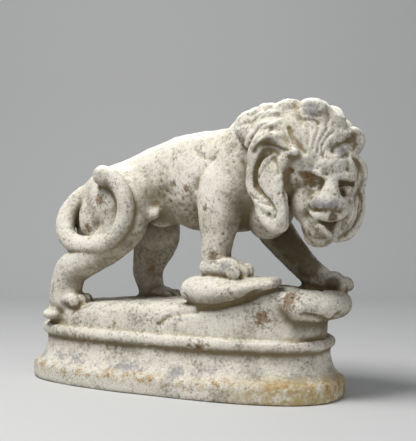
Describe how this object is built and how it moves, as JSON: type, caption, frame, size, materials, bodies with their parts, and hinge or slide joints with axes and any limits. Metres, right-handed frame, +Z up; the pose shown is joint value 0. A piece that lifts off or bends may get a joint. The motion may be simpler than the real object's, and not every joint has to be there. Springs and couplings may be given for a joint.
{
  "type": "lion statue",
  "caption": "Weathered stone lion striding over rock with its tail curled on its haunch, carved as one block with a moulded oval plinth.",
  "frame": {"origin": "middle of the plinth's flat underside", "axes": "+X along the plinth towards the end under the lion's head, +Y to the lion's left, +Z up"},
  "size_m": [0.6459, 0.246, 0.4942],
  "materials": {
    "stone": "weathered limestone, pitted and lichen-stained"
  },
  "bodies": {
    "root": {"lion_statue": "stone"}
  },
  "joints": []
}
